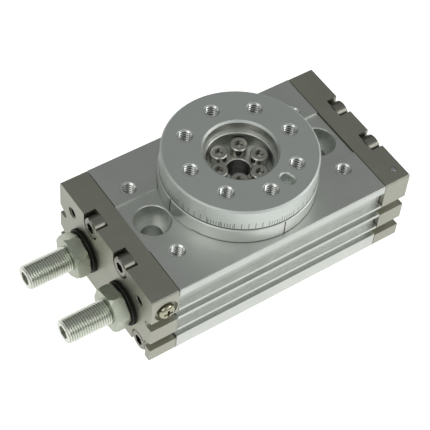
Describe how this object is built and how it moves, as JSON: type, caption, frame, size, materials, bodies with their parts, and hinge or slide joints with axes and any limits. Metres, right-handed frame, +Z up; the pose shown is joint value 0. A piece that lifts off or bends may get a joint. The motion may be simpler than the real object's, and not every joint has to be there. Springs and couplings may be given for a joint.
{
  "type": "pneumatic rotary table",
  "caption": "Rack and pinion pneumatic rotary table: flat drawn body with end covers, round hollow table on top and stroke adjusters at one end.",
  "frame": {"origin": "axis of rotation, in the flat mounting face under the body", "axes": "+X along the body, away from the stroke adjusters; +Y across the body; +Z up along the axis of rotation, out of the table face"},
  "size_m": [0.143, 0.0682, 0.054],
  "materials": {
    "body": "satin",
    "cover": "satin",
    "retainer": "satin",
    "table": "satin",
    "gasket": "matte",
    "rubber": "matte",
    "pad": "matte",
    "screws": "satin",
    "stainless": "satin",
    "nickel": "polished",
    "steel": "polished",
    "gear_steel": "satin",
    "piston": "satin",
    "cage": "matte",
    "magnet": "satin",
    "zinc": "satin"
  },
  "bodies": {
    "housing": {"body": "body", "adjuster_cover": "cover", "end_cover": "cover", "adjuster_gasket": "gasket", "end_gasket": "gasket", "adjuster_cover_screws": "screws", "end_cover_screws": "screws", "side_port_plugs": "nickel", "ball_plug": "steel", "bearing_retainer": "retainer", "retainer_screws": "screws", "upper_bearing_outer_ring": "steel", "lower_bearing_outer_ring": "steel", "near_lock_nut": "zinc", "far_lock_nut": "zinc", "near_seal_washer": "rubber", "far_seal_washer": "rubber"},
    "rotor": {"table": "table", "pinion_shaft": "gear_steel", "table_screws": "stainless", "table_pin": "steel", "upper_bearing_inner_ring": "steel", "lower_bearing_inner_ring": "steel"},
    "upper_ball_set": {"upper_bearing_balls": "steel", "upper_bearing_cage": "cage"},
    "lower_ball_set": {"lower_bearing_balls": "steel", "lower_bearing_cage": "cage"},
    "near_rack": {"near_rack_piston": "piston", "near_piston_seals": "rubber", "near_wear_rings": "cage", "near_magnet": "magnet"},
    "near_pad": {"near_cushion_pad": "pad"},
    "near_adjuster": {"near_adjuster_bolt": "zinc"},
    "far_rack": {"far_rack_piston": "piston", "far_piston_seals": "rubber", "far_wear_rings": "cage", "far_magnet": "magnet"},
    "far_pad": {"far_cushion_pad": "pad"},
    "far_adjuster": {"far_adjuster_bolt": "zinc"}
  },
  "joints": [
    {"name": "table_turn", "type": "hinge", "parent": "housing", "child": "rotor", "pos_m": [0, 0, 0], "axis": [0, 0, 1], "range_deg": [-91.5, 98.5]},
    {"name": "near_rack_slide", "type": "slide", "parent": "housing", "child": "near_rack", "axis": [1, 0, 0], "range_m": [-0.01278, 0.01376]},
    {"name": "far_rack_slide", "type": "slide", "parent": "housing", "child": "far_rack", "axis": [1, 0, 0], "range_m": [-0.01376, 0.01278]},
    {"name": "upper_ball_roll", "type": "hinge", "parent": "housing", "child": "upper_ball_set", "pos_m": [0, 0, 0.03275], "axis": [0, 0, 1], "range_deg": [-42, 45.5]},
    {"name": "lower_ball_roll", "type": "hinge", "parent": "housing", "child": "lower_ball_set", "pos_m": [0, 0, 0.005], "axis": [0, 0, 1], "range_deg": [-39.5, 42.5]},
    {"name": "near_adjuster_feed", "type": "slide", "parent": "housing", "child": "near_pad", "axis": [1, 0, 0], "range_m": [-0.003, 0.002]},
    {"name": "near_adjuster_turn", "type": "hinge", "parent": "near_pad", "child": "near_adjuster", "pos_m": [-0.0585, -0.0141, 0.016], "axis": [1, 0, 0], "range_deg": [-1080.1, 720.1]},
    {"name": "far_adjuster_feed", "type": "slide", "parent": "housing", "child": "far_pad", "axis": [1, 0, 0], "range_m": [-0.003, 0.002]},
    {"name": "far_adjuster_turn", "type": "hinge", "parent": "far_pad", "child": "far_adjuster", "pos_m": [-0.0585, 0.0141, 0.016], "axis": [1, 0, 0], "range_deg": [-1080.1, 720.1]}
  ],
  "couplings": [
    {"joint": "near_rack_slide", "follows": "table_turn", "m_per_rad": 0.008},
    {"joint": "far_rack_slide", "follows": "table_turn", "m_per_rad": -0.008},
    {"joint": "upper_ball_roll", "follows": "table_turn", "ratio": 0.4573},
    {"joint": "lower_ball_roll", "follows": "table_turn", "ratio": 0.4273},
    {"joint": "near_adjuster_turn", "follows": "near_adjuster_feed", "rad_per_m": 6283.2},
    {"joint": "far_adjuster_turn", "follows": "far_adjuster_feed", "rad_per_m": 6283.2}
  ]
}
